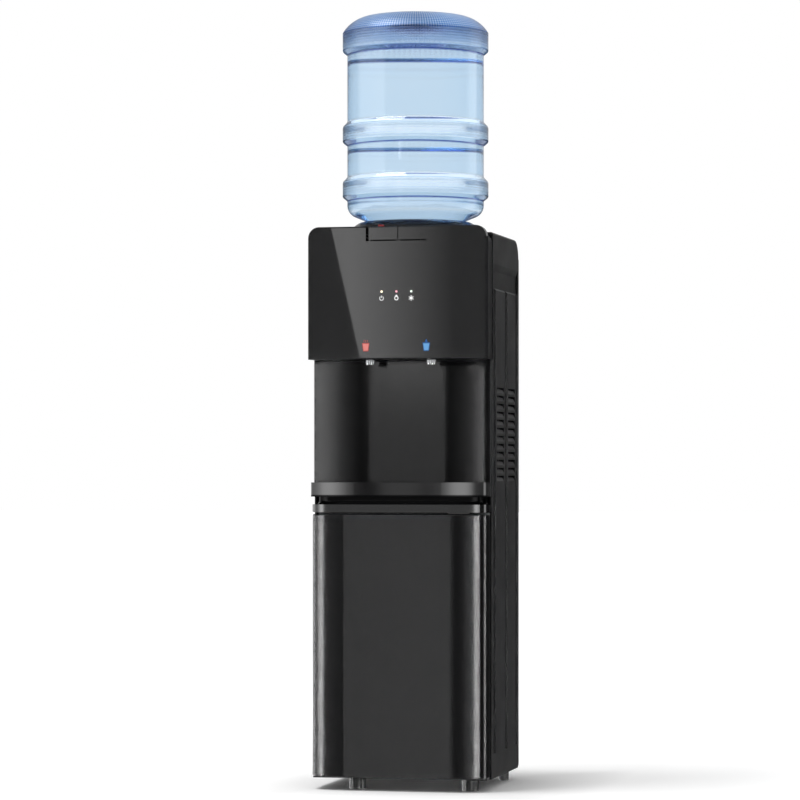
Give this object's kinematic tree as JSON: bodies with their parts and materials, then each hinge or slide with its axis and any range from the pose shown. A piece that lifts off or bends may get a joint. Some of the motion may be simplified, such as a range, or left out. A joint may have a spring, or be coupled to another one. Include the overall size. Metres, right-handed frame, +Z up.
{
  "type": "water dispenser",
  "caption": "Free-standing black water dispenser with an upturned blue bottle on top, push-button hot and cold taps over a pull-out drip tray, and a storage cabinet with a hinged door.",
  "frame": {"origin": "on the floor under the middle of the overall box", "axes": "+Z up, front faces -Y, +X to the viewer's right seen from the front"},
  "size_m": [0.325, 0.33, 1.4],
  "materials": {
    "gloss_black": "piano black moulding",
    "satin_black": "satin black moulding",
    "black_sheet": "satin black powder coat",
    "liner_grey": "light grey vacuum-formed sheet",
    "bottle_blue": "clear blue polycarbonate",
    "well_white": "food-grade white moulding",
    "lens_amber": "amber lens",
    "lens_red": "red lens",
    "lens_green": "green lens",
    "signal_red": "red moulding",
    "board_green": "solder-masked board",
    "spring_steel": "drawn wire",
    "tank_steel": "stainless sheet",
    "fastener_steel": "zinc plated",
    "bright_chrome": "plated",
    "copper_tube": "bare copper",
    "foam_white": "expanded foam",
    "heater_mica": "strap heater",
    "hose_silicone": "translucent silicone",
    "black_rubber": "moulded rubber",
    "white_nylon": "acetal"
  },
  "bodies": {
    "cabinet": {"alcove": "gloss_black", "base_plate": "black_sheet", "bottle_collar": "gloss_black", "button_spring_cold": "spring_steel", "button_spring_hot": "spring_steel", "cold_tank": "tank_steel", "compressor": "black_sheet", "compressor_grommets": "black_rubber", "condenser_tube": "black_sheet", "condenser_wires": "black_sheet", "control_box": "satin_black", "control_panel": "gloss_black", "cord_gland": "satin_black", "drain_outlet": "satin_black", "evaporator_coil": "copper_tube", "feet": "black_rubber", "front_housing": "satin_black", "heater_band": "heater_mica", "hinge_pins": "fastener_steel", "hot_tank": "tank_steel", "indicator_board": "board_green", "lens_cooling": "lens_green", "lens_heating": "lens_red", "lens_power": "lens_amber", "mid_deck": "satin_black", "rear_panel": "satin_black", "rear_screws": "fastener_steel", "rear_top_cover": "satin_black", "refrigerant_lines": "copper_tube", "side_panel_left": "satin_black", "side_panel_right": "satin_black", "silicone_hoses": "hose_silicone", "spout_tips": "bright_chrome", "storage_liner": "liner_grey", "switch_bezel": "satin_black", "tank_insulation": "foam_white", "tap_cold": "satin_black", "tap_hot": "satin_black", "thermal_cutouts": "fastener_steel", "top_cover": "satin_black", "tray_shelf": "gloss_black", "well_sleeve": "well_white"},
    "door": {"door_skin": "gloss_black", "door_liner": "liner_grey"},
    "drip_tray": {"drip_tray": "gloss_black"},
    "drip_grille": {"drip_grille": "gloss_black"},
    "bottle": {"bottle_neck": "bottle_blue", "bottle_shoulder": "bottle_blue", "bottle_body": "bottle_blue", "bottle_base": "bottle_blue"},
    "button_hot": {"button_hot": "gloss_black"},
    "button_cold": {"button_cold": "gloss_black"},
    "child_lock": {"child_lock": "signal_red"},
    "valve_lever_hot": {"valve_lever_hot": "white_nylon"},
    "valve_lever_cold": {"valve_lever_cold": "white_nylon"},
    "valve_stem_hot": {"valve_stem_hot": "white_nylon"},
    "valve_stem_cold": {"valve_stem_cold": "white_nylon"},
    "switch_heating": {"switch_heating": "signal_red"},
    "switch_cooling": {"switch_cooling": "satin_black"},
    "drain_cap": {"drain_cap": "satin_black"}
  },
  "joints": [
    {"name": "door_hinge", "type": "hinge", "parent": "cabinet", "child": "door", "pos_m": [-0.1555, -0.1245, 0.259], "axis": [0, 0, -1], "range_deg": [0, 105]},
    {"name": "tray_slide", "type": "slide", "parent": "cabinet", "child": "drip_tray", "axis": [0, -1, 0], "range_m": [0, 0.11]},
    {"name": "grille_lift", "type": "slide", "parent": "drip_tray", "child": "drip_grille", "axis": [0, 0, 1], "range_m": [0, 0.06]},
    {"name": "bottle_lift", "type": "slide", "parent": "cabinet", "child": "bottle", "axis": [0, 0, 1], "range_m": [0, 0.16]},
    {"name": "button_hot_press", "type": "slide", "parent": "cabinet", "child": "button_hot", "axis": [0, 0, -1], "range_m": [0, 0.0045], "stiffness_N_per_m": 250, "springref_m": -0.004, "deforming": ["button_spring_hot"]},
    {"name": "valve_lever_hot_rock", "type": "hinge", "parent": "cabinet", "child": "valve_lever_hot", "pos_m": [-0.056, -0.1395, 0.8355], "axis": [1, 0, 0], "range_deg": [0, 24.6]},
    {"name": "valve_stem_hot_lift", "type": "slide", "parent": "cabinet", "child": "valve_stem_hot", "axis": [0, 0, 1], "range_m": [0, 0.0045]},
    {"name": "button_cold_press", "type": "slide", "parent": "cabinet", "child": "button_cold", "axis": [0, 0, -1], "range_m": [0, 0.0045], "stiffness_N_per_m": 250, "springref_m": -0.004, "deforming": ["button_spring_cold"]},
    {"name": "valve_lever_cold_rock", "type": "hinge", "parent": "cabinet", "child": "valve_lever_cold", "pos_m": [0.056, -0.1395, 0.8355], "axis": [1, 0, 0], "range_deg": [0, 24.6]},
    {"name": "valve_stem_cold_lift", "type": "slide", "parent": "cabinet", "child": "valve_stem_cold", "axis": [0, 0, 1], "range_m": [0, 0.0045]},
    {"name": "child_lock_slide", "type": "slide", "parent": "button_hot", "child": "child_lock", "axis": [-1, 0, 0], "range_m": [0, 0.0065]},
    {"name": "switch_heating_rock", "type": "hinge", "parent": "cabinet", "child": "switch_heating", "pos_m": [0.06175, 0.146, 0.88], "axis": [-1, 0, 0], "range_deg": [0, 16]},
    {"name": "switch_cooling_rock", "type": "hinge", "parent": "cabinet", "child": "switch_cooling", "pos_m": [0.07825, 0.146, 0.88], "axis": [-1, 0, 0], "range_deg": [0, 16]},
    {"name": "drain_cap_pull", "type": "slide", "parent": "cabinet", "child": "drain_cap", "axis": [0, 1, 0], "range_m": [0, 0.025]}
  ],
  "couplings": [
    {"joint": "valve_lever_hot_rock", "follows": "button_hot_press", "rad_per_m": 95.238},
    {"joint": "valve_stem_hot_lift", "follows": "button_hot_press", "ratio": 1},
    {"joint": "valve_lever_cold_rock", "follows": "button_cold_press", "rad_per_m": 95.238},
    {"joint": "valve_stem_cold_lift", "follows": "button_cold_press", "ratio": 1}
  ]
}
